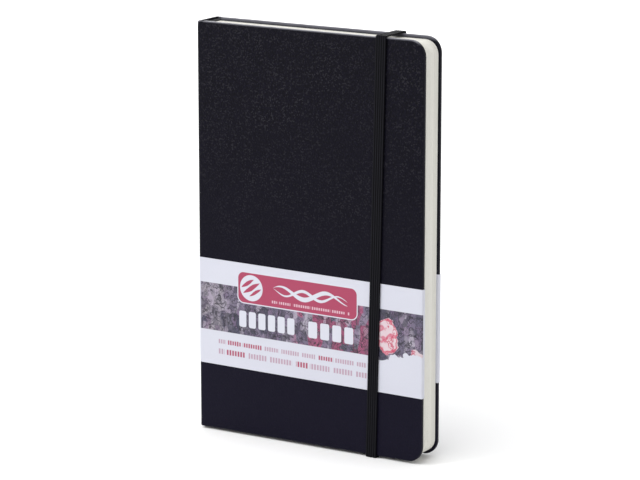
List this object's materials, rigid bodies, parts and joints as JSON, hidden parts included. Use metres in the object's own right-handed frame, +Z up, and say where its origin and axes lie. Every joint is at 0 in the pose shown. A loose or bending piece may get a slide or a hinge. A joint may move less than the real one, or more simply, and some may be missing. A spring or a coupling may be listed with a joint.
{
  "type": "sketchbook",
  "caption": "Hard-cover pocket sketchbook with sewn ivory leaves, rounded corners, a ribbed elastic closure and a sliding printed paper band.",
  "frame": {"origin": "under the middle of the closed, standing book, at its lowest point", "axes": "+Z up the page from tail to head, +X from the spine to the fore-edge, -Y out of the front cover"},
  "size_m": [0.1304, 0.0204, 0.212],
  "materials": {
    "imitation_leather": "fine leather grain, low sheen",
    "cover_board": "raw grey board",
    "endpaper": "matte",
    "drawing_paper": "matte, ivory, light tooth",
    "spine_gauze": "open weave, glued",
    "sewing_thread": "waxed thread",
    "headband_cloth": "woven bead",
    "black_elastic": "ribbed woven elastic",
    "band_paper": null
  },
  "bodies": {
    "book_spine": {"spine_wrap": "imitation_leather", "spine_strip": "cover_board", "spine_lining": "spine_gauze", "sewing_threads": "sewing_thread", "head_headband": "headband_cloth", "tail_headband": "headband_cloth"},
    "front_cover": {"front_cover_board": "cover_board", "front_cover_wrap": "imitation_leather", "front_pastedown": "endpaper"},
    "back_cover": {"back_cover_board": "cover_board", "back_cover_wrap": "imitation_leather", "back_pastedown": "endpaper", "elastic_head_end": "black_elastic", "elastic_tail_end": "black_elastic"},
    "front_endleaf": {"front_flyleaf": "endpaper"},
    "back_endleaf": {"back_flyleaf": "endpaper"},
    "leaves_01": {"section_01": "drawing_paper"},
    "leaves_02": {"section_02": "drawing_paper"},
    "leaves_03": {"section_03": "drawing_paper"},
    "leaves_04": {"section_04": "drawing_paper"},
    "leaves_05": {"section_05": "drawing_paper"},
    "leaves_06": {"section_06": "drawing_paper"},
    "leaves_07": {"section_07": "drawing_paper"},
    "leaves_08": {"section_08": "drawing_paper"},
    "leaves_09": {"section_09": "drawing_paper"},
    "leaves_10": {"section_10": "drawing_paper"},
    "elastic_arms": {"elastic_head_arm": "black_elastic", "elastic_tail_arm": "black_elastic"},
    "elastic_run": {"elastic_front_run": "black_elastic"},
    "band_sleeve": {"band_spine_panel": "band_paper"},
    "band_front": {"band_front_panel": "band_paper"},
    "band_back": {"band_back_panel": "band_paper"}
  },
  "joints": [
    {"name": "front_cover_hinge", "type": "hinge", "parent": "book_spine", "child": "front_cover", "pos_m": [-0.0628, -0.0093, 0], "axis": [0, 0, -1], "range_deg": [0, 150]},
    {"name": "back_cover_hinge", "type": "hinge", "parent": "book_spine", "child": "back_cover", "pos_m": [-0.0628, 0.0093, 0], "axis": [0, 0, 1], "range_deg": [0, 30]},
    {"name": "front_endleaf_turn", "type": "hinge", "parent": "book_spine", "child": "front_endleaf", "pos_m": [-0.0626, -0.0065, 0], "axis": [0, 0, -1], "range_deg": [0, 75]},
    {"name": "leaves_01_turn", "type": "hinge", "parent": "book_spine", "child": "leaves_01", "pos_m": [-0.0626, -0.0065, 0], "axis": [0, 0, -1], "range_deg": [0, 69]},
    {"name": "leaves_02_turn", "type": "hinge", "parent": "book_spine", "child": "leaves_02", "pos_m": [-0.0626, -0.0065, 0], "axis": [0, 0, -1], "range_deg": [0, 61]},
    {"name": "leaves_03_turn", "type": "hinge", "parent": "book_spine", "child": "leaves_03", "pos_m": [-0.0626, -0.0065, 0], "axis": [0, 0, -1], "range_deg": [0, 53]},
    {"name": "leaves_04_turn", "type": "hinge", "parent": "book_spine", "child": "leaves_04", "pos_m": [-0.0626, -0.0065, 0], "axis": [0, 0, -1], "range_deg": [0, 45]},
    {"name": "leaves_05_turn", "type": "hinge", "parent": "book_spine", "child": "leaves_05", "pos_m": [-0.0626, -0.0065, 0], "axis": [0, 0, -1], "range_deg": [0, 37]},
    {"name": "leaves_06_turn", "type": "hinge", "parent": "book_spine", "child": "leaves_06", "pos_m": [-0.0626, 0.0065, 0], "axis": [0, 0, 1], "range_deg": [0, 1]},
    {"name": "leaves_07_turn", "type": "hinge", "parent": "book_spine", "child": "leaves_07", "pos_m": [-0.0626, 0.0065, 0], "axis": [0, 0, 1], "range_deg": [0, 6]},
    {"name": "leaves_08_turn", "type": "hinge", "parent": "book_spine", "child": "leaves_08", "pos_m": [-0.0626, 0.0065, 0], "axis": [0, 0, 1], "range_deg": [0, 11]},
    {"name": "leaves_09_turn", "type": "hinge", "parent": "book_spine", "child": "leaves_09", "pos_m": [-0.0626, 0.0065, 0], "axis": [0, 0, 1], "range_deg": [0, 16]},
    {"name": "leaves_10_turn", "type": "hinge", "parent": "book_spine", "child": "leaves_10", "pos_m": [-0.0626, 0.0065, 0], "axis": [0, 0, 1], "range_deg": [0, 21]},
    {"name": "back_endleaf_turn", "type": "hinge", "parent": "book_spine", "child": "back_endleaf", "pos_m": [-0.0626, 0.0065, 0], "axis": [0, 0, 1], "range_deg": [0, 25.5]},
    {"name": "elastic_swing", "type": "hinge", "parent": "back_cover", "child": "elastic_arms", "pos_m": [0.06705, 0, 0.106], "axis": [0.0222, 0, 0.9998], "range_deg": [0, 319.79], "deforming": ["elastic_head_arm", "elastic_tail_arm"]},
    {"name": "elastic_roll", "type": "hinge", "parent": "elastic_arms", "child": "elastic_run", "pos_m": [0.03905, -0.0097, 0.106], "axis": [-0.0222, 0, -0.9998], "range_deg": [0, 139.79], "deforming": ["elastic_front_run"]},
    {"name": "band_slide", "type": "slide", "parent": "book_spine", "child": "band_sleeve", "axis": [0, 0, 1], "range_m": [-0.024, 0.108]},
    {"name": "band_front_fold", "type": "hinge", "parent": "band_sleeve", "child": "band_front", "pos_m": [-0.0628, -0.0093, 0], "axis": [0, 0, -1], "range_deg": [0, 150]},
    {"name": "band_back_fold", "type": "hinge", "parent": "band_sleeve", "child": "band_back", "pos_m": [-0.0628, 0.0093, 0], "axis": [0, 0, 1], "range_deg": [0, 30]}
  ],
  "couplings": [
    {"joint": "back_cover_hinge", "follows": "front_cover_hinge", "ratio": 0.2},
    {"joint": "front_endleaf_turn", "follows": "front_cover_hinge", "ratio": 0.5},
    {"joint": "leaves_01_turn", "follows": "front_cover_hinge", "ratio": 0.46},
    {"joint": "leaves_02_turn", "follows": "front_cover_hinge", "ratio": 0.40667},
    {"joint": "leaves_03_turn", "follows": "front_cover_hinge", "ratio": 0.35333},
    {"joint": "leaves_04_turn", "follows": "front_cover_hinge", "ratio": 0.3},
    {"joint": "leaves_05_turn", "follows": "front_cover_hinge", "ratio": 0.24667},
    {"joint": "leaves_06_turn", "follows": "front_cover_hinge", "ratio": 0.006667},
    {"joint": "leaves_07_turn", "follows": "front_cover_hinge", "ratio": 0.04},
    {"joint": "leaves_08_turn", "follows": "front_cover_hinge", "ratio": 0.073333},
    {"joint": "leaves_09_turn", "follows": "front_cover_hinge", "ratio": 0.10667},
    {"joint": "leaves_10_turn", "follows": "front_cover_hinge", "ratio": 0.14},
    {"joint": "back_endleaf_turn", "follows": "front_cover_hinge", "ratio": 0.17},
    {"joint": "elastic_swing", "follows": "front_cover_hinge", "ratio": 2.1319},
    {"joint": "elastic_roll", "follows": "front_cover_hinge", "ratio": 0.93192},
    {"joint": "band_front_fold", "follows": "front_cover_hinge", "ratio": 1},
    {"joint": "band_back_fold", "follows": "front_cover_hinge", "ratio": 0.2}
  ]
}
